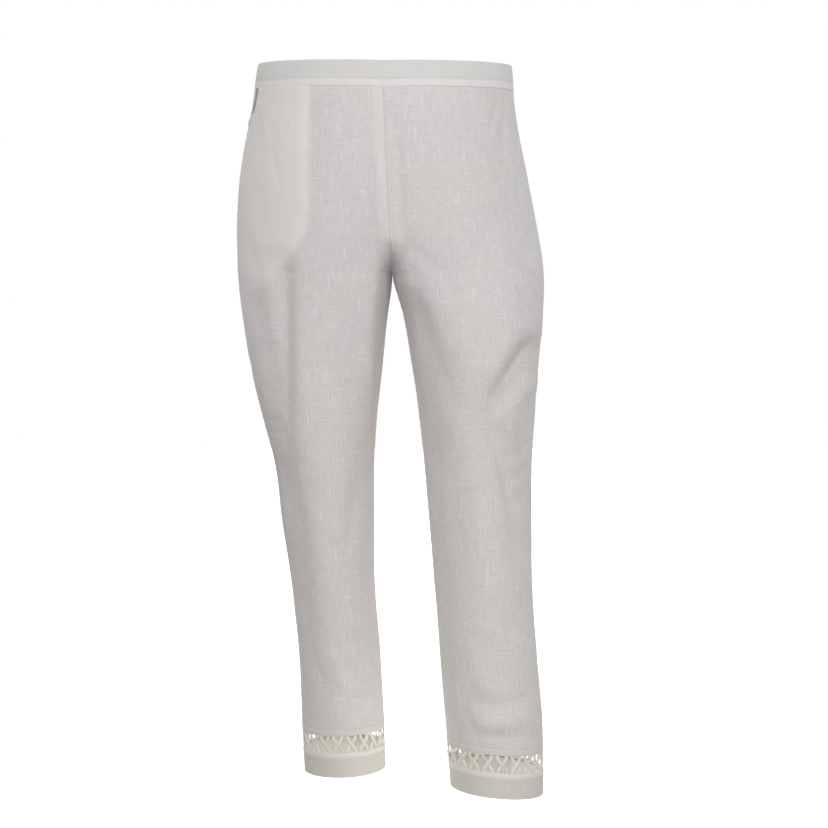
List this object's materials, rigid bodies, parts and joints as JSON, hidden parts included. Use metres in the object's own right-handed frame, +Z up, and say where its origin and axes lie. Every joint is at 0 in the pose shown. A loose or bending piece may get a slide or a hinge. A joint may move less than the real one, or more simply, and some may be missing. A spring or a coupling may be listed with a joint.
{
  "type": "cropped straight-leg trousers",
  "caption": "Ankle-length straight trousers in slub linen, worn shape, with a smooth-fronted elastic waist and openwork hems.",
  "frame": {"origin": "middle of the waist, halfway up the waistband, where the wearer holds the trousers up", "axes": "+Z up, the front faces -Y, the wearer's right leg is at -X"},
  "size_m": [0.386, 0.2594, 0.9135],
  "materials": {
    "linen": "matt off-white slub linen",
    "band_linen": "matt off-white linen, doubled",
    "trim_linen": "matt cream ribbon"
  },
  "bodies": {
    "root": {"waistband_front": "band_linen", "waistband_back": "band_linen", "pocket_bag_right": "linen", "front_right": "linen", "lattice_right_front": "trim_linen", "back_right": "linen", "lattice_right_back": "trim_linen", "binding_right": "trim_linen", "low_binding_right": "trim_linen", "hem_band_right": "band_linen", "front_left": "linen", "lattice_left_front": "trim_linen", "back_left": "linen", "lattice_left_back": "trim_linen", "binding_left": "trim_linen", "low_binding_left": "trim_linen", "hem_band_left": "band_linen"}
  },
  "joints": []
}
